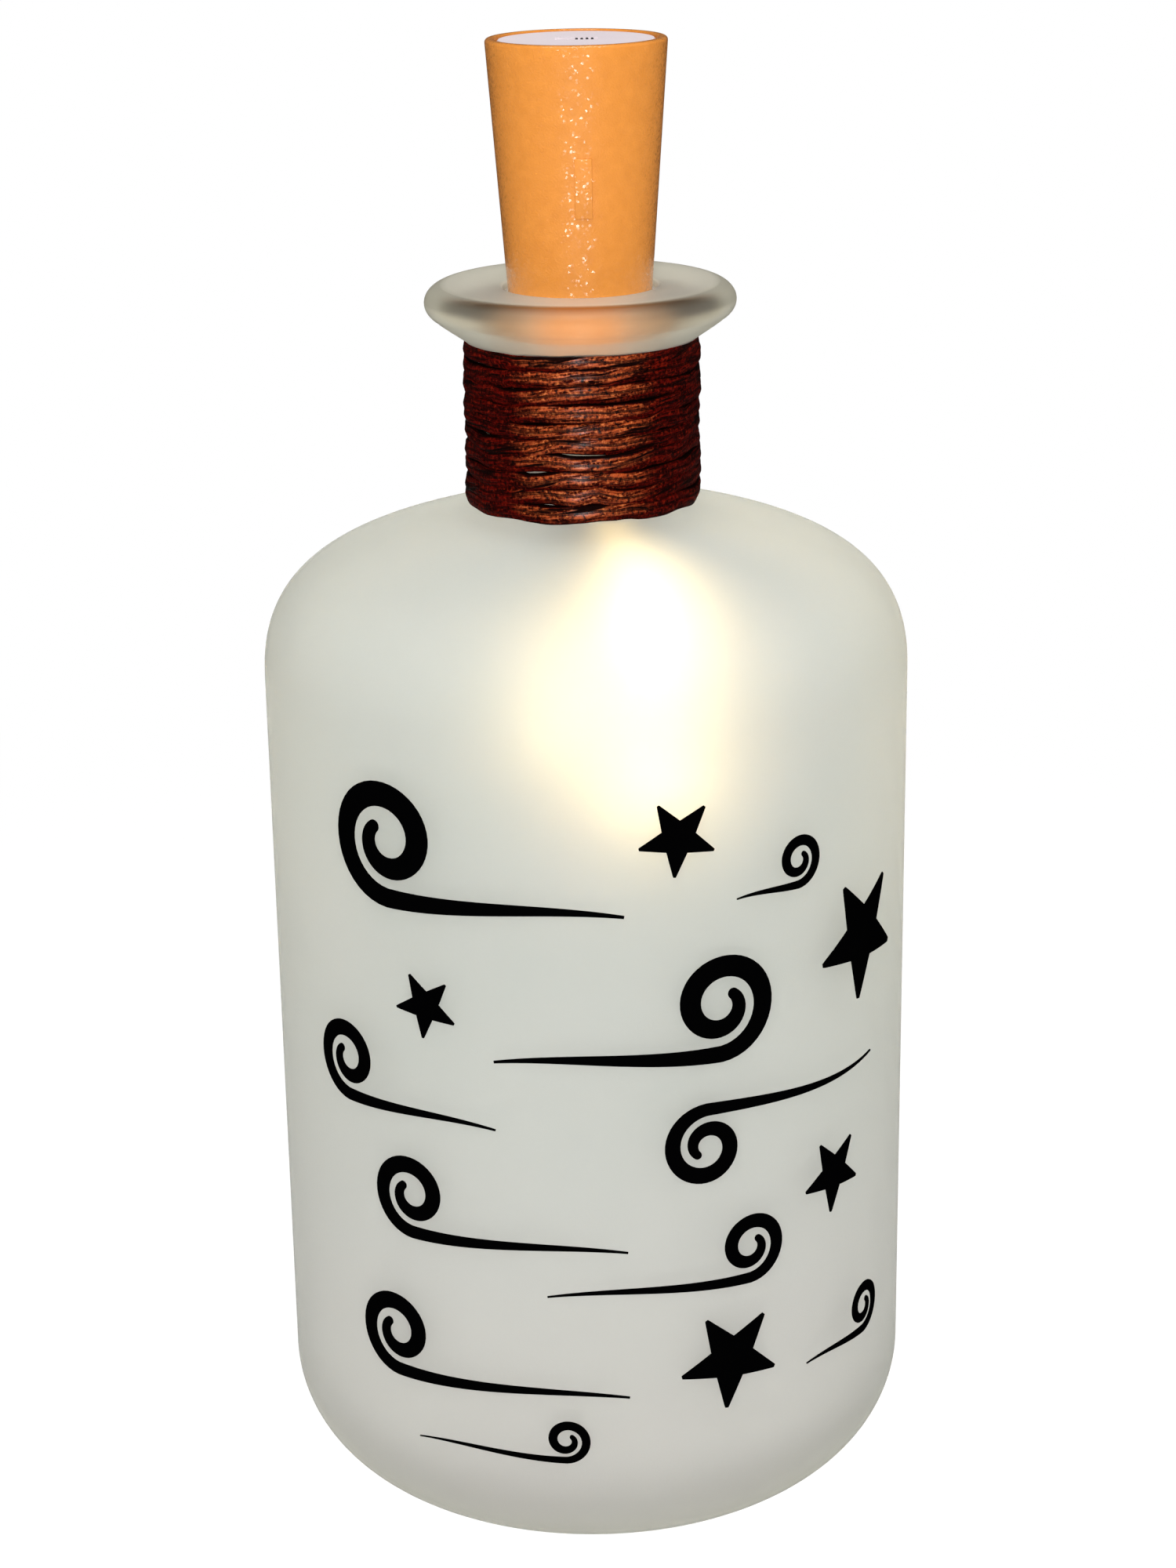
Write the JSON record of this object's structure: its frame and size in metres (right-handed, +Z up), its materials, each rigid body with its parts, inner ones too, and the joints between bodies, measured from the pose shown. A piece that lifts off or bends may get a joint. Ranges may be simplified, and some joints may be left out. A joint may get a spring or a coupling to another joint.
{
  "type": "bottle light",
  "caption": "Frosted glass bottle with a cord-wound neck and cut vinyl on its wall, closed by a tapered battery stopper that hangs a short string of warm lamps inside.",
  "frame": {"origin": "on the table plane, on the bottle's axis", "axes": "+Z up the bottle's axis, the decorated front at -Y, +X to the right of someone facing the front"},
  "size_m": [0.082, 0.0825, 0.1877],
  "materials": {
    "frosted_glass": "satin frosted outside, clear inside",
    "waxed_cord": "waxed fibre cord, low sheen",
    "black_vinyl": "satin cut film",
    "tan_plastic": "fine spark-eroded moulding texture",
    "pale_plastic": "satin",
    "dark_rubber": "matte",
    "board_green": "solder mask",
    "chip_black": "matte",
    "contact_brass": "plated",
    "cell_steel": "bright nickel",
    "silvered_wire": "silvered copper under clear varnish",
    "lamp_resin": "clear resin over a warm white lamp"
  },
  "bodies": {
    "bottle": {"glass_bottle": "frosted_glass", "neck_cord": "waxed_cord", "vinyl_star_1": "black_vinyl", "vinyl_star_2": "black_vinyl", "vinyl_star_3": "black_vinyl", "vinyl_star_4": "black_vinyl", "vinyl_star_5": "black_vinyl", "vinyl_swirl_1": "black_vinyl", "vinyl_swirl_2": "black_vinyl", "vinyl_swirl_3": "black_vinyl", "vinyl_swirl_4": "black_vinyl", "vinyl_swirl_5": "black_vinyl", "vinyl_swirl_6": "black_vinyl", "vinyl_swirl_7": "black_vinyl", "vinyl_swirl_8": "black_vinyl", "vinyl_swirl_9": "black_vinyl", "vinyl_swirl_10": "black_vinyl"},
    "stopper": {"stopper_shell": "tan_plastic", "wire_grommet": "dark_rubber", "circuit_board": "board_green", "driver_chip": "chip_black", "series_resistor": "chip_black", "contact_pin_1": "contact_brass", "contact_pin_2": "contact_brass", "string_wire": "silvered_wire", "led_bead_1": "lamp_resin", "led_bead_2": "lamp_resin", "led_bead_3": "lamp_resin", "led_bead_4": "lamp_resin", "led_bead_5": "lamp_resin", "led_bead_6": "lamp_resin", "led_bead_7": "lamp_resin", "led_bead_8": "lamp_resin", "led_bead_9": "lamp_resin", "led_bead_10": "lamp_resin"},
    "insert": {"battery_insert": "pale_plastic", "button_cell_1": "cell_steel", "button_cell_2": "cell_steel", "button_cell_3": "cell_steel", "cell_spring": "cell_steel", "cell_contact_plate": "contact_brass", "contact_strip": "contact_brass", "switch_body": "chip_black"},
    "knob": {"switch_knob": "chip_black"}
  },
  "joints": [
    {"name": "stopper_lift", "type": "slide", "parent": "bottle", "child": "stopper", "axis": [0, 0, 1], "range_m": [0, 0.075]},
    {"name": "insert_pull", "type": "slide", "parent": "stopper", "child": "insert", "axis": [0, 0, 1], "range_m": [0, 0.036]},
    {"name": "switch_slide", "type": "slide", "parent": "insert", "child": "knob", "axis": [1, 0, 0], "range_m": [-0.002, 0]}
  ]
}
